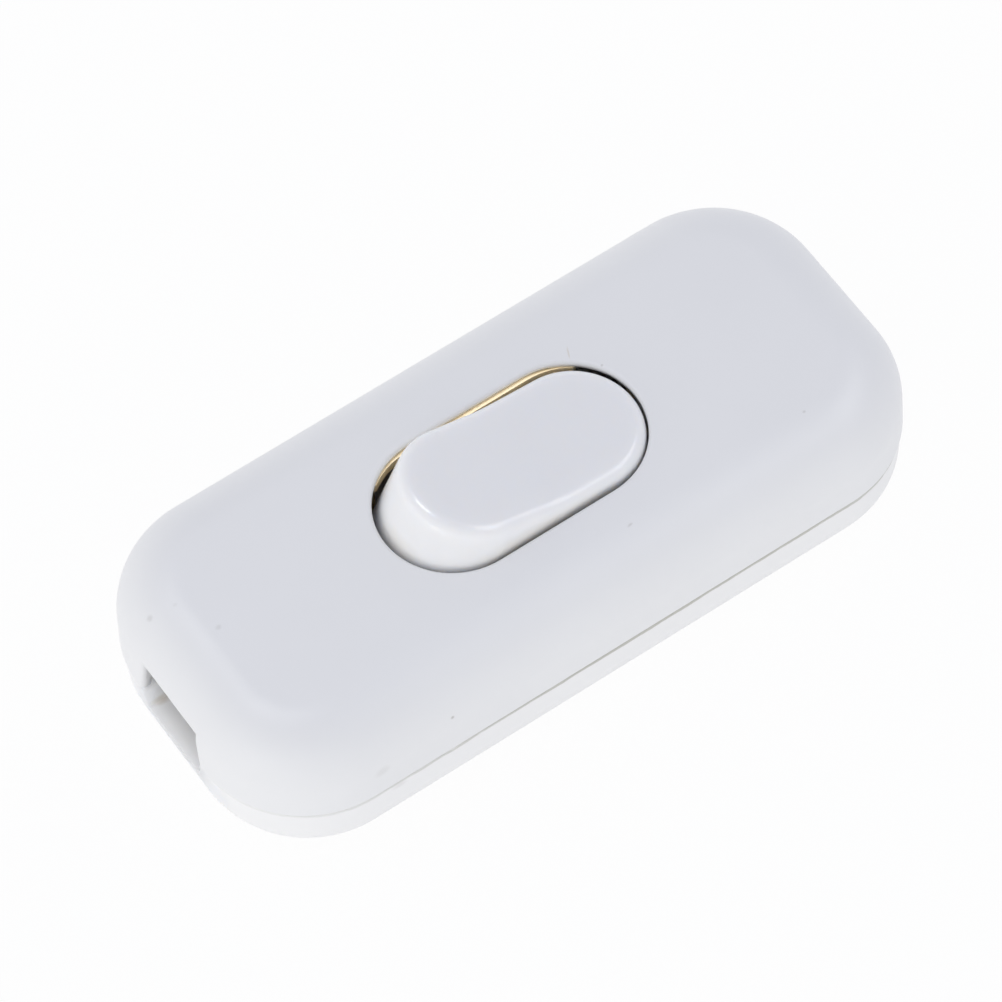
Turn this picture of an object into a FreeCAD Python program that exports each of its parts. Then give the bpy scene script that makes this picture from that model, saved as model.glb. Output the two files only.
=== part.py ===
import FreeCAD, Part
import math
import os

V = FreeCAD.Vector

# Housing
body_length = 60.0
body_width = 26.6
body_height = 14.1
corner_radius = 9.0
seam_z = 6.55
seam_gap = 0.35
side_wall = 1.5
roof = 1.2
floor = 1.5
draft = math.radians(2.0)
crown_radius = 4.85
base_radius = 4.0
lower_inset = 0.1
seam_edge = 0.25

# Lap joint between the shells
tongue_height = 1.1
tongue_outer = 0.85
tongue_thick = 0.6
tongue_clear = 0.1

# Cord inlets in the end walls
inlet_top_z = 10.2
inlet_floor_z = 4.5
inlet_half_narrow = 3.35
inlet_half_wide = 3.75
inlet_collar = 2.6
inlet_cheek = 1.2
inlet_edge = 0.4

# Rocker opening
opening_length = 21.8
opening_width = 11.9
opening_lip = 0.55
opening_recess = 1.0
opening_edge = 0.3

# Rocker, with its heights counted from the pivot
pivot_depth = 3.9
rocker_tilt = 10.0
rocker_end_gap = 0.64
rocker_side_gap = 0.7
rocker_play = 0.25
rocker_end_draft = math.radians(15.5)
rocker_side_draft = math.radians(5.0)
rocker_valley = 5.0
rocker_rise = math.radians(6.3)
rocker_blend = 10.0
rocker_edge = 1.0
rocker_wall = 1.3
rocker_roof = 1.5
rocker_skirt = 0.8
cheek_radius = 2.4
cheek_over = 0.12
trunnion_radius = 1.25
trunnion_short = 0.15
running_clear = 0.05

# Bearing posts of the rocker
bearing_gap = 1.1
bearing_thick = 1.7
bearing_half = 2.6
bearing_over = 0.9
bearing_mouth = 1.0

# Plunger and its spring
socket_outer = 2.5
socket_bore = 1.5
socket_below = 2.3
socket_roof = 1.6
plunger_clear = 0.05
plunger_top = -0.2
plunger_tip = 1.2
plunger_nose = 1.0
spigot_radius = 0.75
spigot_height = 1.2
spring_wire = 0.36
spring_turns = 4.0
spring_clear = 0.17
spring_seat = 0.02

# Contact blade
blade_pivot_z = 4.9
blade_half_length = 7.3
blade_half_width = 2.0
blade_thick = 0.6
blade_above = 0.25
blade_corner = 0.8
lug_radius = 0.5
lug_over = 0.3
stop_over = 0.4
stop_under = 1.2
stop_half = 1.5

# Contact tips
contact_inset = 1.0
contact_radius = 1.15
contact_clear = 0.06
tip_height = 0.45
tip_edge = 0.2
rivet_radius = 0.7
rivet_clear = 0.01
rivet_over = 0.15

# Brass strips
brass = 0.8
ear_gap = 0.6
ear_half = 1.7
ear_over = 0.6
cradle_back = 4.6
cradle_front = 3.2
arm_over = 1.2
arm_inner = 2.2
contact_land = 0.55
pad_z = 4.2
pad_half = 3.0
pad_half_width = 2.6
pedestal_inset = 0.2
leg_gap = 0.8
terminal_reach = 4.3
live_y = -6.6
neutral_y = 7.2
link_drop = 0.05
link_show = 0.3
link_end = 0.1
link_pocket = 0.3
peg_radius = 0.7
peg_inboard = 1.4
peg_y = -5.2
peg_over = 0.3

# Terminal screws and washers
terminal_thread = 1.5
terminal_head = 2.4
terminal_head_height = 1.6
terminal_tip_gap = 0.3
washer_outer = 2.5
washer_thick = 0.6
screw_clear = 0.05
hole_clear = 0.2
head_edge = 0.3
slot_width = 0.7
slot_depth = 0.8

# Cord clamps
clamp_end_gap = 1.4
clamp_screw_y = 6.2
clamp_half = 1.8
clamp_half_length = 8.2
clamp_corner = 1.0
clamp_z = 8.6
clamp_thick = 1.8
clamp_post = 2.1
clamp_thread = 1.1
clamp_head = 2.1
clamp_clear = 0.1
clamp_slot_width = 0.5
clamp_slot_depth = 0.45
clamp_screw_length = 6.0
clamp_tip_gap = 0.4
tooth_apart = 1.8
tooth_half = 0.5
tooth_height = 0.6
tooth_reach = 3.2
saddle_half = 0.8
saddle_z = 3.4

# Housing screws
boss_gap = 1.7
boss_lower = 3.4
boss_upper = 2.4
housing_thread = 1.3
housing_head = 2.3
housing_head_height = 1.5
housing_head_edge = 0.5
housing_recess = 2.6
housing_seat_z = 2.4
pilot_cover = 0.4
pilot_spare = 1.2
point_length = 1.2
point_radius = 0.5
cross_half = 1.5
cross_width = 0.6
cross_depth = 0.9

# How far cutters pass their faces, and how far a rib or post starts inside its wall
through = 1.0
sink = 0.5

# Heights
roof_z = body_height - roof
lip_z = body_height - opening_lip
link_top = lip_z - link_drop
pivot_z = body_height - pivot_depth
strip_z = floor
strip_top = strip_z + brass
pad_top = pad_z + brass
root_z = floor - sink
upper_bottom = seam_z + seam_gap / 2
lower_top = seam_z - seam_gap / 2
pilot_top = roof_z - pilot_cover

# Rocker fits
rocker_half_length = opening_length / 2 - rocker_end_gap + pivot_depth * math.tan(rocker_end_draft)
rocker_half_width = opening_width / 2 - rocker_side_gap
rocker_crest = rocker_valley + rocker_half_length * math.tan(rocker_rise)
bearing_inner = rocker_half_width + bearing_gap
bearing_outer = bearing_inner + bearing_thick
trunnion_reach = bearing_outer - trunnion_short
socket_top = rocker_valley - socket_roof
plunger_radius = socket_bore - running_clear
tip_below = pivot_z - blade_pivot_z - blade_above - plunger_clear - plunger_tip
spring_mean = socket_bore - spring_clear - spring_wire / 2

# Plan of the contacts, terminals and screws
contact_x = blade_half_length - contact_inset
leg_x = blade_half_length + leg_gap
terminal_x = leg_x + terminal_reach
ear_inner = blade_half_width + ear_gap
lug_reach = ear_inner + brass + lug_over
link_outer_y = neutral_y + pad_half_width
link_leg_y = opening_width / 2
peg_x = leg_x - peg_inboard
boss_x = opening_length / 2 + opening_recess + boss_gap + boss_upper
clamp_x = body_length / 2 - inlet_collar - clamp_end_gap - clamp_half
terminal_length = pad_top + washer_thick - floor - terminal_tip_gap
housing_screw_length = pilot_top - pilot_spare - housing_seat_z

terminal_places = [(side * terminal_x, y) for side in (-1, 1) for y in (live_y, neutral_y)]
clamp_places = [(side * clamp_x, y) for side in (-1, 1) for y in (-clamp_screw_y, clamp_screw_y)]
boss_places = [(side * boss_x, 0) for side in (-1, 1)]


def rounded_rect(length, width, radius, z):
    """Closed wire of a rectangle with round corners at height z."""
    hl = length / 2
    hw = width / 2
    k = radius * (1 - math.sqrt(0.5))
    p = [V(hl, -hw + radius, z), V(hl, hw - radius, z), V(hl - radius, hw, z), V(-hl + radius, hw, z),
         V(-hl, hw - radius, z), V(-hl, -hw + radius, z), V(-hl + radius, -hw, z), V(hl - radius, -hw, z)]
    m = [V(hl - k, hw - k, z), V(-hl + k, hw - k, z), V(-hl + k, -hw + k, z), V(hl - k, -hw + k, z)]
    edges = []
    for i in range(4):
        edges.append(Part.makeLine(p[2 * i], p[2 * i + 1]))
        edges.append(Part.Arc(p[2 * i + 1], m[i], p[(2 * i + 2) % 8]).toShape())
    return Part.Wire(edges)


def inset_rect(inset, z):
    """Housing outline moved inwards by inset."""
    return rounded_rect(body_length - 2 * inset, body_width - 2 * inset, corner_radius - inset, z)


def housing_form(z0, z1, inset, radius, crowned):
    """Solid with the housing outline, drafted walls and one rounded end, from z0 to z1.

    The wall leans inwards away from the seam, and the rounded end is the top where
    crowned is true and the bottom where it is false."""
    half_x = body_length / 2 - corner_radius
    half_y = body_width / 2 - corner_radius
    height = z1 - z0
    wide = V(corner_radius - inset, 0, 0)
    centre_u = wide.x - (height - radius) * math.tan(draft) - radius / math.cos(draft)
    touch = V(centre_u + radius * math.cos(draft), 0, height - radius + radius * math.sin(draft))
    turn = math.radians(45) + draft / 2
    middle = V(centre_u + radius * math.cos(turn), 0, height - radius + radius * math.sin(turn))
    end = V(centre_u, 0, height)
    axis_top = V(0, 0, height)
    face = Part.Face(Part.Wire([
        Part.makeLine(V(0, 0, 0), wide),
        Part.makeLine(wide, touch),
        Part.Arc(touch, middle, end).toShape(),
        Part.makeLine(end, axis_top),
        Part.makeLine(axis_top, V(0, 0, 0)),
    ]))
    pieces = [block(-half_x, half_x, -half_y, half_y, 0, height)]
    for turn_deg, x, y, run in ((0, half_x, half_y, half_y), (90, -half_x, half_y, half_x),
                                (180, -half_x, -half_y, half_y), (270, half_x, -half_y, half_x)):
        corner = face.revolve(V(0, 0, 0), V(0, 0, 1), 90)
        wall = face.extrude(V(0, -2 * run, 0))
        for piece in (corner, wall):
            piece.rotate(V(0, 0, 0), V(0, 0, 1), turn_deg)
            piece.translate(V(x, y, 0))
            pieces.append(piece)
    form = pieces[0].multiFuse(pieces[1:]).removeSplitter()
    if crowned:
        form.translate(V(0, 0, z0))
    else:
        form.rotate(V(0, 0, 0), V(1, 0, 0), 180)
        form.translate(V(0, 0, z1))
    return form.Solids[0]


def stadium(length, width, z):
    """Closed wire of a slot with round ends at height z."""
    r = width / 2
    c = length / 2 - r
    return Part.Wire([
        Part.makeLine(V(-c, -r, z), V(c, -r, z)),
        Part.Arc(V(c, -r, z), V(c + r, 0, z), V(c, r, z)).toShape(),
        Part.makeLine(V(c, r, z), V(-c, r, z)),
        Part.Arc(V(-c, r, z), V(-c - r, 0, z), V(-c, -r, z)).toShape(),
    ])


def upright(wire, height):
    """Solid from a flat wire carried straight up."""
    return Part.Face(wire).extrude(V(0, 0, height))


def block(x0, x1, y0, y1, z0, z1):
    """Box between two corners given in any order."""
    low = V(min(x0, x1), min(y0, y1), min(z0, z1))
    return Part.makeBox(abs(x1 - x0), abs(y1 - y0), abs(z1 - z0), low)


def pillar(x, y, z0, z1, radius):
    """Upright cylinder from z0 to z1."""
    return Part.makeCylinder(radius, z1 - z0, V(x, y, z0))


def crosswise(y0, y1, z, radius):
    """Cylinder along Y at height z, between two places given in any order."""
    return Part.makeCylinder(radius, abs(y1 - y0), V(0, min(y0, y1), z), V(0, 1, 0))


def level_edges(shape, z):
    """Edges that lie flat at height z."""
    near = 1e-4
    return [e for e in shape.Edges if abs(e.BoundBox.ZMin - z) < near and abs(e.BoundBox.ZMax - z) < near]


def tidy(shape):
    """Joins faces that share a surface and unwraps a single solid."""
    shape = shape.removeSplitter()
    if len(shape.Solids) == 1:
        return shape.Solids[0]
    return shape


def inlet(side):
    """Six-sided cutter for the cord inlet in one end wall, widest at the seam."""
    profile = [(-inlet_half_narrow, inlet_floor_z), (inlet_half_narrow, inlet_floor_z), (inlet_half_wide, seam_z),
               (inlet_half_narrow, inlet_top_z), (-inlet_half_narrow, inlet_top_z), (-inlet_half_wide, seam_z)]
    x0 = side * (body_length / 2 - inlet_collar - through)
    points = [V(x0, y, z) for y, z in profile]
    return Part.Face(Part.makePolygon(points + [points[0]])).extrude(V(side * (inlet_collar + 2 * through), 0, 0))


def soften_inlet(shell, side):
    """Rounds the outer rim of the inlet in one end wall."""
    wall_x = body_length / 2 - inlet_edge
    half = inlet_half_wide + inlet_edge / 2
    rim = [e for e in shell.Edges if min(side * e.BoundBox.XMin, side * e.BoundBox.XMax) > wall_x
           and -half < e.BoundBox.YMin and e.BoundBox.YMax < half]
    return shell.makeFillet(inlet_edge, rim)


def collar(side, z0, z1):
    """Thickened end wall round the inlet, cut to the housing by the caller."""
    half = inlet_half_wide + inlet_cheek
    return block(side * (body_length / 2 - inlet_collar), side * body_length / 2, -half, half, z0, z1)


def make_upper_shell():
    outer = housing_form(upper_bottom, body_height, 0, crown_radius, True)
    hollow = housing_form(upper_bottom, roof_z, side_wall, crown_radius - side_wall, True)
    shell = outer.cut(hollow)

    # Rebate that takes the tongue of the lower shell
    rebate_height = tongue_height + tongue_clear
    shell = shell.cut(upright(inset_rect(tongue_outer - tongue_clear, upper_bottom), rebate_height))

    # Opening for the rocker with a thin lip and a softened outer edge
    shell = shell.cut(upright(stadium(opening_length, opening_width, roof_z - through), roof + 2 * through))
    recess = stadium(opening_length + 2 * opening_recess, opening_width + 2 * opening_recess, roof_z - through)
    shell = shell.cut(upright(recess, lip_z - roof_z + through))
    rim = [e for e in level_edges(shell, body_height) if e.BoundBox.XLength < opening_length + opening_edge
           and e.BoundBox.YLength < opening_width + opening_edge
           and abs(e.BoundBox.Center.y) < opening_width / 2 + opening_edge]
    shell = shell.makeFillet(opening_edge, rim)

    # Pocket in the roof that seats the raised part of the brass link
    pocket_x = leg_x + brass + link_pocket
    shell = shell.cut(block(-pocket_x, pocket_x, 0, link_outer_y + link_pocket, roof_z - through, lip_z))

    # Screw bosses and inlet collars, kept inside the outer form
    for x, y in boss_places:
        shell = shell.fuse(pillar(x, y, seam_z, roof_z + sink, boss_upper).common(outer))
        shell = shell.cut(pillar(x, y, seam_z - through, pilot_top, housing_thread + screw_clear))
    for side in (-1, 1):
        shell = shell.fuse(collar(side, upper_bottom + rebate_height, body_height).common(outer))
        shell = soften_inlet(shell.cut(inlet(side)).removeSplitter(), side)
    return tidy(shell)


def make_lower_shell():
    outer = housing_form(0, lower_top, lower_inset, base_radius, False)
    outer = outer.makeFillet(seam_edge, level_edges(outer, lower_top))
    hollow = housing_form(floor, lower_top + through, side_wall, base_radius - side_wall, False)
    shell = outer.cut(hollow)

    # Tongue that locates the upper shell
    ring = upright(inset_rect(tongue_outer, lower_top - through), tongue_height + through)
    ring_bore = inset_rect(tongue_outer + tongue_thick, lower_top - 2 * through)
    shell = shell.fuse(ring.cut(upright(ring_bore, tongue_height + 3 * through)))

    # Inlet collars, and the saddles that the cord lies on under the clamps
    for side in (-1, 1):
        shell = shell.fuse(collar(side, floor, lower_top).common(outer))
        saddle_x = side * clamp_x
        shell = shell.fuse(block(saddle_x - saddle_half, saddle_x + saddle_half, -clamp_screw_y, clamp_screw_y,
                                 root_z, saddle_z))
        shell = shell.cut(inlet(side))

    # Posts of the clamps, pedestals of the terminals and bosses of the housing screws
    for x, y in clamp_places:
        shell = shell.fuse(pillar(x, y, root_z, clamp_z, clamp_post))
    half_x = pad_half - pedestal_inset
    half_y = pad_half_width - pedestal_inset
    for x, y in terminal_places:
        shell = shell.fuse(block(x - half_x, x + half_x, y - half_y, y + half_y, root_z, pad_z).common(outer))
    for x, y in boss_places:
        shell = shell.fuse(pillar(x, y, root_z, seam_z, boss_lower))

    # Bearing posts of the rocker, open at the top so the trunnions snap in
    for side in (-1, 1):
        inner = side * bearing_inner
        outer_face = side * bearing_outer
        post = block(-bearing_half, bearing_half, inner, outer_face, root_z, pivot_z + bearing_over)
        bore = crosswise(inner - side * through, outer_face + side * through, pivot_z, trunnion_radius + running_clear)
        mouth = block(-bearing_mouth, bearing_mouth, inner - side * through, outer_face + side * through,
                      pivot_z, pivot_z + bearing_over + through)
        shell = shell.fuse(post.cut(bore).cut(mouth))

    # Stop under the end of the blade that rests when the switch is off
    shell = shell.fuse(block(-blade_half_length - stop_over, -blade_half_length + stop_under, -stop_half, stop_half,
                             root_z, blade_stop_z()))

    # Locating pegs of the two live terminals
    for x in (-peg_x, peg_x):
        shell = shell.fuse(pillar(x, peg_y, root_z, strip_top + peg_over, peg_radius))

    # Screw holes
    for x, y in boss_places:
        shell = shell.cut(pillar(x, y, -through, seam_z + through, housing_thread + hole_clear))
        shell = shell.cut(pillar(x, y, -through, housing_seat_z, housing_recess))
    for x, y in clamp_places:
        depth = clamp_z + clamp_thick - clamp_screw_length - clamp_tip_gap
        shell = shell.cut(pillar(x, y, depth, clamp_z + through, clamp_thread + screw_clear))
    for x, y in terminal_places:
        shell = shell.cut(pillar(x, y, floor, pad_z + through, terminal_thread + hole_clear))
    return tidy(shell)


def blade_stop_z():
    """Height of the stop that the lowered end of the blade rests over."""
    a = math.radians(rocker_tilt)
    low = blade_thick - blade_above
    return blade_pivot_z - blade_half_length * math.sin(a) - low * math.cos(a) - contact_clear


def valley_cutter(drop):
    """Everything above the shallow V of the rocker's top, lowered by drop."""
    z0 = pivot_z + rocker_valley - drop
    half = rocker_blend * math.sin(rocker_rise)
    reach = rocker_half_length + 2 * through
    side_y = -rocker_half_width - 2 * through
    lift = rocker_blend * (1 - math.cos(rocker_rise))
    blend_left = V(-half, side_y, z0 + lift)
    blend_right = V(half, side_y, z0 + lift)
    left = V(-reach, side_y, z0 + lift + (reach - half) * math.tan(rocker_rise))
    right = V(reach, side_y, left.z)
    top_right = V(reach, side_y, z0 + rocker_crest)
    top_left = V(-reach, side_y, z0 + rocker_crest)
    wire = Part.Wire([
        Part.makeLine(left, blend_left),
        Part.Arc(blend_left, V(0, side_y, z0), blend_right).toShape(),
        Part.makeLine(blend_right, right),
        Part.makeLine(right, top_right),
        Part.makeLine(top_right, top_left),
        Part.makeLine(top_left, left),
    ])
    return Part.Face(wire).extrude(V(0, -2 * side_y, 0))


def rocker_form(inset, low, high):
    """Rocker body with drafted walls, from low to high above the pivot."""
    wires = []
    for h in (low, high):
        half = rocker_half_length - h * math.tan(rocker_end_draft) - inset
        width = rocker_half_width + (rocker_valley - h) * math.tan(rocker_side_draft) - inset
        wires.append(stadium(2 * half, 2 * width, pivot_z + h))
    return Part.makeLoft(wires, True, True)


def make_rocker():
    body = rocker_form(0, -rocker_skirt, rocker_crest + through)
    body = body.cut(valley_cutter(0))
    rim_z = pivot_z + rocker_valley - rocker_edge / 2
    rim = [e for e in body.Edges if e.BoundBox.ZMin > rim_z and e.BoundBox.XLength > rocker_edge / 2]
    body = body.makeFillet(rocker_edge, rim)
    hollow = rocker_form(rocker_wall, -rocker_skirt - through, rocker_crest)
    body = body.cut(hollow.cut(valley_cutter(rocker_roof)))

    # Cheeks, trunnions and the spring socket
    for side in (-1, 1):
        inner = side * (rocker_half_width - rocker_wall)
        body = body.fuse(crosswise(inner, side * (rocker_half_width + cheek_over), pivot_z, cheek_radius))
        body = body.fuse(crosswise(inner, side * trunnion_reach, pivot_z, trunnion_radius))
    socket_low = pivot_z - socket_below
    body = body.fuse(pillar(0, 0, socket_low, pivot_z + rocker_valley - rocker_roof / 2, socket_outer))
    body = body.cut(pillar(0, 0, socket_low - through, pivot_z + socket_top, socket_bore))
    return lean(tidy(body))


def lean(shape):
    """Turns a piece of the rocker to the resting position, pushed to the front by the play in its bearings."""
    shape.rotate(V(0, 0, pivot_z), V(0, 1, 0), rocker_tilt)
    shape.translate(V(0, -rocker_play, 0))
    return shape


def make_plunger():
    ball_z = pivot_z - tip_below
    shoulder_z = pivot_z + plunger_top
    spigot_z = shoulder_z + spigot_height
    diagonal = plunger_tip * math.sqrt(0.5)
    corners = [V(0, 0, spigot_z), V(spigot_radius, 0, spigot_z), V(spigot_radius, 0, shoulder_z),
               V(plunger_radius, 0, shoulder_z), V(plunger_radius, 0, ball_z + plunger_nose), V(plunger_tip, 0, ball_z)]
    bottom = V(0, 0, ball_z - plunger_tip)
    edges = [Part.makeLine(a, b) for a, b in zip(corners, corners[1:])]
    edges.append(Part.Arc(corners[-1], V(diagonal, 0, ball_z - diagonal), bottom).toShape())
    edges.append(Part.makeLine(bottom, corners[0]))
    return lean(Part.Face(Part.Wire(edges)).revolve(V(0, 0, 0), V(0, 0, 1), 360))


def make_plunger_spring():
    low = pivot_z + plunger_top + spring_wire / 2 + spring_seat
    high = pivot_z + socket_top - spring_wire / 2 - spring_seat
    path = Part.makeHelix((high - low) / spring_turns, high - low, spring_mean)
    section = Part.Wire(Part.makeCircle(spring_wire / 2, V(spring_mean, 0, 0), V(0, 1, 0)))
    coil = Part.Wire(path).makePipeShell([section], True, True)
    coil.translate(V(0, 0, low))
    return lean(coil)


def blade_under_z():
    """Height of the blade's underside before it is swung."""
    return blade_pivot_z + blade_above - blade_thick


def make_contact_blade():
    under = blade_under_z()
    top = under + blade_thick
    blade = block(-blade_half_length, blade_half_length, -blade_half_width, blade_half_width, under, top)
    blade = blade.makeFillet(blade_corner, [e for e in blade.Edges if e.BoundBox.ZLength > blade_thick / 2])
    lugs = crosswise(-lug_reach, lug_reach, blade_pivot_z, lug_radius)
    above = block(-through, through, -blade_half_width, blade_half_width, top, top + through)
    blade = blade.fuse(lugs.cut(above))
    blade = blade.cut(pillar(contact_x, 0, under - through, top + through, rivet_radius))
    return swing(tidy(blade))


def make_blade_contact_tip():
    under = blade_under_z()
    tip = pillar(contact_x, 0, under - tip_height, under, contact_radius)
    tip = tip.makeFillet(tip_edge, level_edges(tip, under - tip_height))
    tip = tip.fuse(pillar(contact_x, 0, under - tip_edge, under + blade_thick + rivet_over, rivet_radius - rivet_clear))
    return swing(tidy(tip))


def swing(shape):
    """Turns a piece of the blade from level to the resting position."""
    shape.rotate(V(0, 0, blade_pivot_z), V(0, 1, 0), -rocker_tilt)
    return shape


def contact_top_z():
    """Height of the fixed contact, just clear of the lowered blade tip."""
    a = math.radians(rocker_tilt)
    low = blade_thick - blade_above + tip_height
    edge = contact_x + contact_radius - tip_edge
    return blade_pivot_z - edge * math.sin(a) - low * math.cos(a) - contact_clear


def pad(side, y):
    """Flat terminal pad with a hole for its screw."""
    plate = block(side * leg_x, side * (terminal_x + pad_half), y - pad_half_width, y + pad_half_width, pad_z, pad_top)
    hole = pillar(side * terminal_x, y, pad_z - through, pad_top + through, terminal_thread + screw_clear)
    return plate.cut(hole)


def live_strip(side, inner_x, inner_y):
    """Strip on the floor from the contacts to a leg that rises to the live pad, with its peg hole."""
    outer_x = side * (leg_x + brass)
    outer_y = live_y - arm_over
    strip = block(side * inner_x, outer_x, outer_y, inner_y, strip_z, strip_top)
    leg = block(side * leg_x, outer_x, outer_y, live_y + pad_half_width, strip_z, pad_top)
    body = strip.fuse(leg).fuse(pad(side, live_y))
    return body.cut(pillar(side * peg_x, peg_y, strip_z - through, strip_top + through, peg_radius + screw_clear))


def make_cradle_terminal():
    ear_outer = ear_inner + brass
    plate = block(-cradle_back, cradle_front, -ear_outer, ear_outer, strip_z, strip_top)
    body = plate.fuse(live_strip(-1, cradle_back - through, -arm_inner))
    for side in (-1, 1):
        body = body.fuse(block(-ear_half, ear_half, side * ear_inner, side * ear_outer,
                               strip_z, blade_pivot_z + ear_over))
    notch = lug_radius + running_clear
    body = body.cut(crosswise(-lug_reach, lug_reach, blade_pivot_z, notch))
    body = body.cut(block(-notch, notch, -lug_reach, lug_reach, blade_pivot_z, blade_pivot_z + ear_over + through))
    return tidy(body)


def make_fixed_terminal():
    return tidy(live_strip(1, contact_x - contact_radius - contact_land, contact_radius + contact_land))


def make_fixed_contact_tip():
    return pillar(contact_x, 0, strip_top, contact_top_z(), contact_radius)


def make_neutral_link():
    bridge_x = leg_x + brass
    body = block(-bridge_x, bridge_x, neutral_y - pad_half_width, link_outer_y, link_top - brass, link_top)
    cut_length = opening_length + 2 * link_end
    cut_width = opening_width - 2 * link_show
    body = body.cut(upright(stadium(cut_length, cut_width, link_top - brass - through), brass + 2 * through))
    for side in (-1, 1):
        body = body.fuse(block(side * leg_x, side * bridge_x, link_leg_y, link_outer_y, pad_z, link_top))
        body = body.fuse(pad(side, neutral_y))
    return tidy(body)


def make_terminal_screws():
    seat = pad_top + washer_thick
    top = seat + terminal_head_height
    screws = []
    for x, y in terminal_places:
        head = pillar(x, y, seat, top, terminal_head)
        head = head.makeChamfer(head_edge, level_edges(head, top))
        reach = terminal_head + through
        slot = block(x - slot_width / 2, x + slot_width / 2, y - reach, y + reach, top - slot_depth, top + through)
        screws.append(tidy(head.cut(slot).fuse(pillar(x, y, seat - terminal_length, seat, terminal_thread))))
    return Part.makeCompound(screws)


def make_terminal_washers():
    rings = []
    for x, y in terminal_places:
        ring = pillar(x, y, pad_top, pad_top + washer_thick, washer_outer)
        bore = pillar(x, y, pad_z, pad_top + washer_thick + through, terminal_thread + screw_clear)
        rings.append(ring.cut(bore))
    return Part.makeCompound(rings)


def make_cord_clamp(side):
    x = side * clamp_x
    top = clamp_z + clamp_thick
    sink_depth = clamp_head - clamp_thread
    bar = block(x - clamp_half, x + clamp_half, -clamp_half_length, clamp_half_length, clamp_z, top)
    bar = bar.makeFillet(clamp_corner, [e for e in bar.Edges if e.BoundBox.ZLength > clamp_thick / 2])
    for ridge in (x - tooth_apart / 2, x + tooth_apart / 2):
        profile = [V(ridge - tooth_half, -tooth_reach, clamp_z), V(ridge + tooth_half, -tooth_reach, clamp_z),
                   V(ridge, -tooth_reach, clamp_z - tooth_height)]
        bar = bar.fuse(Part.Face(Part.makePolygon(profile + [profile[0]])).extrude(V(0, 2 * tooth_reach, 0)))
    for y in (-clamp_screw_y, clamp_screw_y):
        bar = bar.cut(pillar(x, y, clamp_z - through, top + through, clamp_thread + clamp_clear))
        bar = bar.cut(Part.makeCone(clamp_thread + clamp_clear, clamp_head + clamp_clear, sink_depth,
                                    V(x, y, top - sink_depth)))
    return tidy(bar)


def make_cord_clamp_screws():
    top = clamp_z + clamp_thick
    depth = clamp_head - clamp_thread
    reach = clamp_head + through
    screws = []
    for x, y in clamp_places:
        screw = Part.makeCone(clamp_thread, clamp_head, depth, V(x, y, top - depth))
        screw = screw.fuse(pillar(x, y, top - clamp_screw_length, top - depth, clamp_thread))
        slot_half = clamp_slot_width / 2
        screw = screw.cut(block(x - reach, x + reach, y - slot_half, y + slot_half,
                                top - clamp_slot_depth, top + through))
        screws.append(tidy(screw))
    return Part.makeCompound(screws)


def make_housing_screws():
    seat = housing_seat_z
    under = seat - housing_head_height
    tip = seat + housing_screw_length
    screws = []
    for x, y in boss_places:
        head = pillar(x, y, under, seat, housing_head)
        head = head.makeChamfer(housing_head_edge, level_edges(head, under))
        for half_x, half_y in ((cross_half, cross_width / 2), (cross_width / 2, cross_half)):
            head = head.cut(block(x - half_x, x + half_x, y - half_y, y + half_y, under - through, under + cross_depth))
        shank = pillar(x, y, seat, tip - point_length, housing_thread)
        point = Part.makeCone(housing_thread, point_radius, point_length, V(x, y, tip - point_length))
        screws.append(tidy(head.fuse(shank).fuse(point)))
    return Part.makeCompound(screws)


os.makedirs("parts", exist_ok=True)
nodes = {
    "lower_shell": make_lower_shell(),
    "upper_shell": make_upper_shell(),
    "rocker": make_rocker(),
    "plunger": make_plunger(),
    "plunger_spring": make_plunger_spring(),
    "contact_blade": make_contact_blade(),
    "blade_contact_tip": make_blade_contact_tip(),
    "cradle_terminal": make_cradle_terminal(),
    "fixed_terminal": make_fixed_terminal(),
    "fixed_contact_tip": make_fixed_contact_tip(),
    "neutral_link": make_neutral_link(),
    "terminal_screws": make_terminal_screws(),
    "terminal_washers": make_terminal_washers(),
    "cord_clamp_left": make_cord_clamp(-1),
    "cord_clamp_right": make_cord_clamp(1),
    "cord_clamp_screws": make_cord_clamp_screws(),
    "housing_screws": make_housing_screws(),
}
for name, shape in nodes.items():
    shape.exportStep("parts/" + name + ".step")
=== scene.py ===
import math

import bpy
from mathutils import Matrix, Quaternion, Vector


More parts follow.
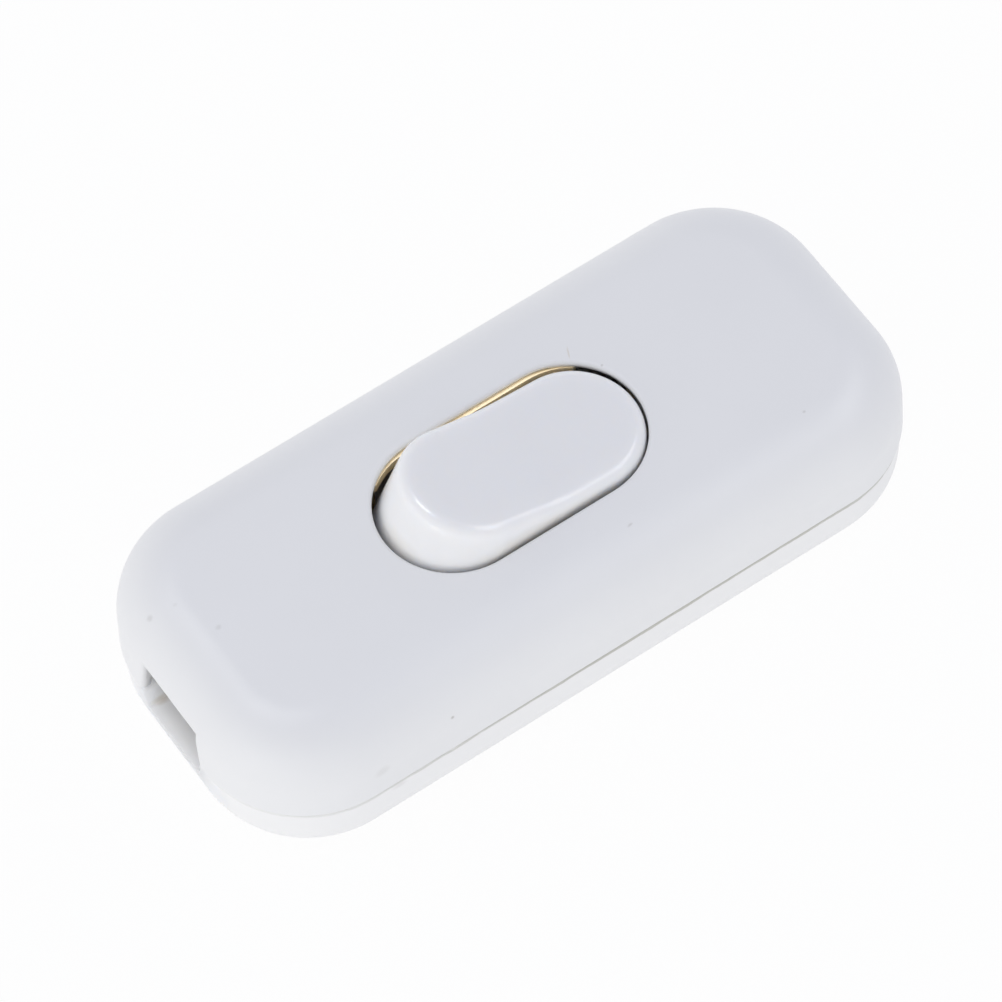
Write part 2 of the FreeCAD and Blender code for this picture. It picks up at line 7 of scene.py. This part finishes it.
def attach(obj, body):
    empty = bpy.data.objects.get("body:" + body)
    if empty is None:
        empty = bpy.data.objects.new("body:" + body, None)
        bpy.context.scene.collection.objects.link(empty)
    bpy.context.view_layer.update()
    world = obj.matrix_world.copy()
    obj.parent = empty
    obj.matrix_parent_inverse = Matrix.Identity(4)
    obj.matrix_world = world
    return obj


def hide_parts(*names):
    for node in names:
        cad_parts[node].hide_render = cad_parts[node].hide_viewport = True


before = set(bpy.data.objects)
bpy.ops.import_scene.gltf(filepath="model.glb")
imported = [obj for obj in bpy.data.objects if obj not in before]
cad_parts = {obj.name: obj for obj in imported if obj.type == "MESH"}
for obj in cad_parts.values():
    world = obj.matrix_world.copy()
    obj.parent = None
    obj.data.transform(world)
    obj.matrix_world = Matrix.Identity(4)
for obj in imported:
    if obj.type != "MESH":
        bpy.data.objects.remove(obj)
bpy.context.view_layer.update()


# Lower shell
# The base of the housing is a shallow white tray, injection moulded in a hard thermoplastic. The posts
# and pedestals of the inner parts stand on its floor, and a tongue round its rim locates the cover.
# Dirt and painted shade lie along its upper edge, the left cord inlet has a painted light on its floor
# and a painted shade in its far corner, and its walls at the cord inlets let some light through.
def moulded_copy(node, name, body):
    """New piece with the form of a node: triangles welded, round faces smooth and flat faces kept flat."""
    bpy.ops.object.select_all(action="DESELECT")
    piece = bpy.data.objects.new(name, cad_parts[node].data.copy())
    bpy.context.scene.collection.objects.link(piece)
    bpy.context.view_layer.objects.active = piece
    piece.select_set(True)
    bpy.ops.object.mode_set(mode="EDIT")
    bpy.ops.mesh.select_all(action="SELECT")
    bpy.ops.mesh.remove_doubles(threshold=1e-6)
    bpy.ops.object.mode_set(mode="OBJECT")
    bpy.ops.object.shade_smooth_by_angle(angle=math.radians(28))
    flat = piece.modifiers.new("flat_faces", "WEIGHTED_NORMAL")
    flat.weight = 100
    flat.keep_sharp = True
    bpy.ops.object.modifier_apply(modifier=flat.name)
    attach(piece, body)
    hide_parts(node)
    return piece


def finish_nodes(name):
    """New material with its nodes, its links, its shader and the piece's own coordinates."""
    material = bpy.data.materials.new(name)
    material.use_nodes = True
    nodes = material.node_tree.nodes
    links = material.node_tree.links
    shader = nodes["Principled BSDF"]
    place = nodes.new("ShaderNodeTexCoord").outputs["Object"]
    return material, nodes, links, shader, place


def cloud(nodes, links, place, scale, detail, low, high):
    """Soft noise on the piece, spread from low to high."""
    noise = nodes.new("ShaderNodeTexNoise")
    noise.inputs["Scale"].default_value = scale
    noise.inputs["Detail"].default_value = detail
    links.new(place, noise.inputs["Vector"])
    spread = nodes.new("ShaderNodeMapRange")
    spread.inputs["From Min"].default_value = 0.15
    spread.inputs["From Max"].default_value = 0.85
    spread.inputs["To Min"].default_value = low
    spread.inputs["To Max"].default_value = high
    links.new(noise.outputs["Fac"], spread.inputs["Value"])
    return spread.outputs["Result"]


def two_tone(nodes, links, factor, first, second):
    """Colour that goes from first to second with the factor."""
    mix = nodes.new("ShaderNodeMix")
    mix.data_type = "RGBA"
    links.new(factor, mix.inputs["Factor"])
    for socket, colour in (("A", first), ("B", second)):
        if isinstance(colour, tuple):
            next(s for s in mix.inputs if s.name == socket and s.type == "RGBA").default_value = (*colour, 1)
        else:
            links.new(colour, next(s for s in mix.inputs if s.name == socket and s.type == "RGBA"))
    return next(s for s in mix.outputs if s.type == "RGBA")


def relief(nodes, links, shader, height, depth, strength):
    """Fine relief of the surface, depth in metres."""
    bump = nodes.new("ShaderNodeBump")
    bump.inputs["Strength"].default_value = strength
    bump.inputs["Distance"].default_value = depth
    links.new(height, bump.inputs["Height"])
    links.new(bump.outputs["Normal"], shader.inputs["Normal"])


def spot(nodes, links, place, centre_mm, half_mm, turn_deg, strength):
    """Soft-edged mark round a point of the piece, from 0 outside to strength in its middle."""
    local = nodes.new("ShaderNodeMapping")
    local.vector_type = "TEXTURE"
    local.inputs["Location"].default_value = Vector(centre_mm) * 0.001
    local.inputs["Rotation"].default_value = (0, 0, math.radians(turn_deg))
    local.inputs["Scale"].default_value = Vector(half_mm) * 0.001
    links.new(place, local.inputs["Vector"])
    away = nodes.new("ShaderNodeVectorMath")
    away.operation = "LENGTH"
    links.new(local.outputs["Vector"], away.inputs[0])
    fade = nodes.new("ShaderNodeMapRange")
    fade.interpolation_type = "SMOOTHSTEP"
    fade.inputs["From Min"].default_value = 0.2
    fade.inputs["From Max"].default_value = 1.0
    fade.inputs["To Min"].default_value = strength
    fade.inputs["To Max"].default_value = 0.0
    links.new(away.outputs["Value"], fade.inputs["Value"])
    return fade.outputs["Result"]


def ragged(nodes, links, place, scale, reach):
    """Place shifted to and fro by up to half of reach, which gives marks an uneven edge."""
    noise = nodes.new("ShaderNodeTexNoise")
    noise.inputs["Scale"].default_value = scale
    noise.inputs["Detail"].default_value = 3
    links.new(place, noise.inputs["Vector"])
    centred = nodes.new("ShaderNodeVectorMath")
    centred.operation = "SUBTRACT"
    centred.inputs[1].default_value = (0.5, 0.5, 0.5)
    links.new(noise.outputs["Color"], centred.inputs[0])
    shifted = nodes.new("ShaderNodeVectorMath")
    shifted.operation = "MULTIPLY_ADD"
    shifted.inputs[1].default_value = (reach, reach, reach)
    links.new(centred.outputs["Vector"], shifted.inputs[0])
    links.new(place, shifted.inputs[2])
    return shifted.outputs["Vector"]


def moulded_plastic(name, pale, deep, gloss, see_through_mm, marks):
    """Plastic with faint clouds, a fine moulded grain, uneven gloss and the given marks.

    Where see_through_mm isn't 0, light spreads about that far below its surface.
    """
    material, nodes, links, shader, place = finish_nodes(name)
    if see_through_mm:
        shader.inputs["Subsurface Weight"].default_value = 0.8
        shader.inputs["Subsurface Radius"].default_value = (1.0, 0.94, 0.86)
        shader.inputs["Subsurface Scale"].default_value = see_through_mm * 0.001
    colour = two_tone(nodes, links, cloud(nodes, links, place, 90, 3, 0, 1), pale, deep)
    if marks:
        uneven = ragged(nodes, links, place, 500, 0.0004)
    for centre_mm, half_mm, turn_deg, strength, dirt in marks:
        mark = spot(nodes, links, uneven, centre_mm, half_mm, turn_deg, strength)
        colour = two_tone(nodes, links, mark, colour, dirt)
    links.new(colour, shader.inputs["Base Color"])
    links.new(cloud(nodes, links, place, 260, 2, gloss - 0.03, gloss + 0.03), shader.inputs["Roughness"])
    relief(nodes, links, shader, cloud(nodes, links, place, 2600, 2, 0, 1), 3e-06, 0.12)
    return material


# Each mark has its middle and half sizes in mm, its turn in degrees, its strength and its colour.
grime = (0.30, 0.27, 0.22)
seam_dirt_and_painted_shade = (0.42, 0.41, 0.34)
inlet_painted_light = (1.0, 0.97, 0.90)
inlet_painted_shade = (0.40, 0.28, 0.15)
lower_dirt_and_painted_light_marks = [
    # Dirt and painted shade of the joint: a dull band along the upper edge at the seam.
    ((6, 0, 6.25), (40, 400, 0.24), 0, 0.7, seam_dirt_and_painted_shade),
    ((-18.93, -13.18, 5.88), (0.9, 0.5, 0.5), 0, 0.12, grime),
    # Painted light: the floor of the left cord inlet painted lighter and warmer.
    ((-28.5, 0, 4.6), (3.0, 4.2, 2.2), 0, 0.9, inlet_painted_light),
    # Painted shade: a brown darkening in the far corner of the left cord inlet.
    ((-28.73, 3.40, 4.6), (1.3, 0.55, 0.6), 0, 0.35, inlet_painted_shade),
]
lower_plastic = moulded_plastic(
    "lower_shell_plastic", (0.95, 0.945, 0.93), (0.93, 0.925, 0.91), 0.5, 0.5, lower_dirt_and_painted_light_marks)
nodes = lower_plastic.node_tree.nodes
links = lower_plastic.node_tree.links
both_ends = nodes.new("ShaderNodeVectorMath")
both_ends.operation = "ABSOLUTE"
links.new(nodes["Texture Coordinate"].outputs["Object"], both_ends.inputs[0])
inlet_centre_mm = (27.5, 0, 4.5)
inlet_half_mm = (7.0, 7.0, 7.0)
inlet_see_through = 0.012
inlet_walls = spot(
    nodes, links, both_ends.outputs["Vector"], inlet_centre_mm, inlet_half_mm, 0, inlet_see_through)
links.new(inlet_walls, nodes["Principled BSDF"].inputs["Subsurface Scale"])
lower_shell = moulded_copy("lower_shell", "lower_shell_tray", "housing")
lower_shell.data.materials.clear()
lower_shell.data.materials.append(lower_plastic)


# Live terminals, contact blade and neutral link
# Stamped and bent from brass strip: the cradle that carries the see-saw blade, the terminal of the fixed
# contact, the blade itself and the link that carries the neutral core past the switch under the cover.
def stamped_brass(name, bright, dull, rough):
    """Brass strip with the fine lines of rolling along its length and a slight tarnish."""
    material, nodes, links, shader, place = finish_nodes(name)
    shader.inputs["Metallic"].default_value = 1.0
    along = nodes.new("ShaderNodeMapping")
    along.inputs["Scale"].default_value = (0.08, 1.0, 1.0)
    links.new(place, along.inputs["Vector"])
    lines = cloud(nodes, links, along.outputs["Vector"], 5200, 2, 0, 1)
    tarnish = cloud(nodes, links, place, 420, 3, 0, 1)
    links.new(two_tone(nodes, links, tarnish, bright, dull), shader.inputs["Base Color"])
    links.new(cloud(nodes, links, along.outputs["Vector"], 3000, 2, rough - 0.06, rough + 0.08),
              shader.inputs["Roughness"])
    relief(nodes, links, shader, lines, 6e-06, 0.3)
    return material


def refinish(node, material):
    """Gives a node that keeps its form its own finish."""
    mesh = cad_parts[node].data
    mesh.materials.clear()
    mesh.materials.append(material)


terminal_brass = stamped_brass("terminal_brass", (0.86, 0.66, 0.32), (0.70, 0.49, 0.20), 0.32)
for node in ("cradle_terminal", "fixed_terminal", "contact_blade"):
    refinish(node, terminal_brass)
# Painted light: the neutral link's brass is painted paler than the terminals', as if lit under the opening.
link_brass = stamped_brass("link_brass", (1.0, 0.89, 0.66), (0.95, 0.80, 0.53), 0.55)
refinish("neutral_link", link_brass)


# Contact tips
# Small silver rivets, one headed over in the blade and one on the fixed terminal under it.
silver, nodes, links, shader, place = finish_nodes("contact_silver_face")
shader.inputs["Metallic"].default_value = 1.0
tarnish = cloud(nodes, links, place, 1500, 3, 0, 1)
colour = two_tone(nodes, links, tarnish, (0.80, 0.79, 0.77), (0.62, 0.60, 0.57))
links.new(colour, shader.inputs["Base Color"])
links.new(cloud(nodes, links, place, 2200, 2, 0.25, 0.45), shader.inputs["Roughness"])
for node in ("blade_contact_tip", "fixed_contact_tip"):
    refinish(node, silver)


# Screws and washers
# Zinc-plated steel: slotted screws with washers on the terminals, countersunk screws in the clamp bars
# and cross-recessed screws from beneath that hold the shells together.
plated, nodes, links, shader, place = finish_nodes("zinc_plate")
shader.inputs["Metallic"].default_value = 1.0
tarnish = cloud(nodes, links, place, 900, 3, 0, 1)
colour = two_tone(nodes, links, tarnish, (0.66, 0.67, 0.68), (0.55, 0.55, 0.54))
links.new(colour, shader.inputs["Base Color"])
links.new(cloud(nodes, links, place, 1600, 2, 0.26, 0.42), shader.inputs["Roughness"])
relief(nodes, links, shader, cloud(nodes, links, place, 5000, 2, 0, 1), 4e-06, 0.2)
for node in ("terminal_screws", "terminal_washers", "cord_clamp_screws", "housing_screws"):
    refinish(node, plated)


# Cord clamps
# Plain bars moulded in the same family of plastic, with two ridges below that grip the cord's sheath.
clamp_plastic = moulded_plastic("clamp_bar_plastic", (0.74, 0.74, 0.72), (0.70, 0.70, 0.68), 0.55, 0, [])
for node in ("cord_clamp_left", "cord_clamp_right"):
    refinish(node, clamp_plastic)


# Plunger and spring
# A natural nylon pin with a rounded nose, pushed down the rocker's socket by a coil of spring wire.
nylon = moulded_plastic("natural_nylon", (0.76, 0.74, 0.66), (0.72, 0.69, 0.61), 0.42, 0, [])
refinish("plunger", nylon)
wire, nodes, links, shader, place = finish_nodes("spring_wire")
shader.inputs["Metallic"].default_value = 1.0
tarnish = cloud(nodes, links, place, 1200, 2, 0, 1)
colour = two_tone(nodes, links, tarnish, (0.58, 0.58, 0.57), (0.45, 0.45, 0.44))
links.new(colour, shader.inputs["Base Color"])
links.new(cloud(nodes, links, place, 2600, 2, 0.22, 0.36), shader.inputs["Roughness"])
refinish("plunger_spring", wire)


# Rocker
# The button is a hollow moulding in a glossier white than the shells, with a shallow V for a top, soft
# rounded edges and trunnions that snap into the posts of the lower shell. Its skirt is painted darker
# and warmer towards the gap round it, as painted shade.
skirt_painted_shade = (0.66, 0.60, 0.52)
# Painted shade: the skirt darker and warmer along the front and the left end, next to the gap.
rocker_skirt_painted_shade = [
    ((-2.0, -6.0, 13.9), (13.0, 1.2, 1.7), 0, 0.35, skirt_painted_shade),
    ((-10.6, -1.0, 14.0), (1.3, 6.0, 1.5), 0, 0.3, skirt_painted_shade),
]
rocker = moulded_copy("rocker", "rocker_button", "rocker_body")
rocker.data.materials.clear()
rocker.data.materials.append(moulded_plastic(
    "rocker_gloss_plastic", (0.99, 0.985, 0.965), (0.98, 0.975, 0.955), 0.22, 0.9, rocker_skirt_painted_shade))


# Upper shell
# The cover is one white moulding with a broad crown all round and a stadium opening for the rocker. It
# carries a few specks of dirt, a hair by the opening and a faint smear on its front wall.
hair_beige = (0.62, 0.52, 0.36)
upper_marks = [
    ((-27.86, 4.98, 13.18), (0.36, 0.32, 0.5), 0, 0.18, grime),
    ((-24.47, 1.00, 14.1), (0.34, 0.28, 0.5), 20, 0.15, grime),
    ((-26.02, 4.40, 14.0), (0.24, 0.22, 0.5), 0, 0.09, grime),
    ((10.24, 3.26, 14.1), (0.16, 0.16, 0.5), 0, 0.3, grime),
    ((19.92, -8.61, 14.1), (0.18, 0.16, 0.5), 0, 0.25, grime),
    ((4.21, -9.06, 14.1), (0.34, 0.16, 0.3), 10, 0.25, grime),
    ((-14.0, -13.03, 10.55), (0.2, 0.3, 0.2), 0, 0.45, grime),
    ((8.90, 5.54, 14.1), (0.10, 0.75, 0.5), -22, 0.35, hair_beige),
    ((-20.28, -13.21, 9.34), (0.9, 0.5, 0.7), 0, 0.1, grime),
]
upper_shell = moulded_copy("upper_shell", "upper_shell_cover", "housing")
upper_shell.data.materials.clear()
upper_shell.data.materials.append(moulded_plastic(
    "upper_shell_plastic", (0.885, 0.885, 0.88), (0.865, 0.865, 0.86), 0.46, 0, upper_marks))


# Floor, light and camera
# A plain white table in an even white tent, dimmer and cooler overhead than at the sides, with two soft
# boxes that only show as highlights and a weak one low at the left that fills the inlet. The camera looks
# down on the switch from its left front.
bpy.ops.object.select_all(action="DESELECT")
table_size = 3.0
table_drop = 0.0001
bpy.ops.mesh.primitive_plane_add(size=table_size, location=(0, 0, -table_drop))
table = bpy.context.object
table.name = "table"
material, nodes, links, shader, place = finish_nodes("white_table")
shader.inputs["Base Color"].default_value = (0.97, 0.97, 0.97, 1)
shader.inputs["Roughness"].default_value = 0.8
glow = nodes.new("ShaderNodeEmission")
glow.inputs["Color"].default_value = (1, 1, 1, 1)
seen = nodes.new("ShaderNodeLightPath")
either = nodes.new("ShaderNodeMath")
either.operation = "MAXIMUM"
links.new(seen.outputs["Is Camera Ray"], either.inputs[0])
links.new(seen.outputs["Is Glossy Ray"], either.inputs[1])
also = nodes.new("ShaderNodeMath")
also.operation = "MAXIMUM"
links.new(either.outputs["Value"], also.inputs[0])
links.new(seen.outputs["Is Transmission Ray"], also.inputs[1])
share = nodes.new("ShaderNodeMath")
share.operation = "MULTIPLY"
glow_share = 0.95
share.inputs[1].default_value = glow_share
links.new(also.outputs["Value"], share.inputs[0])
blend = nodes.new("ShaderNodeMixShader")
links.new(share.outputs["Value"], blend.inputs["Fac"])
links.new(shader.outputs["BSDF"], blend.inputs[1])
links.new(glow.outputs["Emission"], blend.inputs[2])
links.new(blend.outputs["Shader"], nodes["Material Output"].inputs["Surface"])
table.data.materials.append(material)

world = bpy.data.worlds.new("white_tent")
bpy.context.scene.world = world
world.use_nodes = True
nodes = world.node_tree.nodes
links = world.node_tree.links
split = nodes.new("ShaderNodeSeparateXYZ")
links.new(nodes.new("ShaderNodeTexCoord").outputs["Generated"], split.inputs["Vector"])
dimmer_to_the_right = 0.15
tilt = nodes.new("ShaderNodeMath")
tilt.operation = "MULTIPLY_ADD"
tilt.inputs[1].default_value = dimmer_to_the_right
links.new(split.outputs["X"], tilt.inputs[0])
links.new(split.outputs["Z"], tilt.inputs[2])
side_light = (1.29, 1.28, 1.24)
overhead_light = (0.467, 0.494, 0.608)
links.new(two_tone(nodes, links, tilt.outputs["Value"], side_light, overhead_light),
          nodes["Background"].inputs["Color"])

# Each box has its direction, distance, sides, power and whether it lights matt surfaces.
boxes = (
    ("front_box", (0.55, -0.20, 0.80), 0.7, (0.55, 0.25), 1.55, False),
    ("rear_box", (-0.12, 0.31, 0.94), 0.7, (0.22, 0.22), 1.5, False),
    ("left_box", (-0.93, -0.33, 0.12), 0.32, (0.10, 0.10), 0.06, True),
)
for name, way, reach, size, energy, fills in boxes:
    box_data = bpy.data.lights.new(name, "AREA")
    box_data.shape = "RECTANGLE"
    box_data.size, box_data.size_y = size
    box_data.energy = energy
    box = bpy.data.objects.new(name, box_data)
    bpy.context.scene.collection.objects.link(box)
    box_way = Vector(way).normalized()
    box.location = box_way * reach
    box.rotation_euler = (-box_way).to_track_quat("-Z", "Y").to_euler()
    box.visible_diffuse = fills
    box.visible_camera = False

view_azimuth = math.radians(-30.901)
view_elevation = math.radians(59.095)
view_roll = math.radians(-3.975)
view_distance = 0.433996
view_centre = Vector((-0.00003, 0.0016, 0.0070))
back = Vector((math.sin(view_azimuth) * math.cos(view_elevation),
               -math.cos(view_azimuth) * math.cos(view_elevation), math.sin(view_elevation)))
camera_data = bpy.data.cameras.new("camera")
camera_data.sensor_width = 36.0
camera_data.lens = 212.45
camera_data.clip_start = 0.01
camera = bpy.data.objects.new("camera", camera_data)
bpy.context.scene.collection.objects.link(camera)
camera.location = view_centre + back * view_distance
camera.rotation_mode = "QUATERNION"
camera.rotation_quaternion = (-back).to_track_quat("-Z", "Y") @ Quaternion((0, 0, 1), view_roll)
bpy.context.scene.camera = camera
bpy.context.scene.view_settings.view_transform = "Standard"
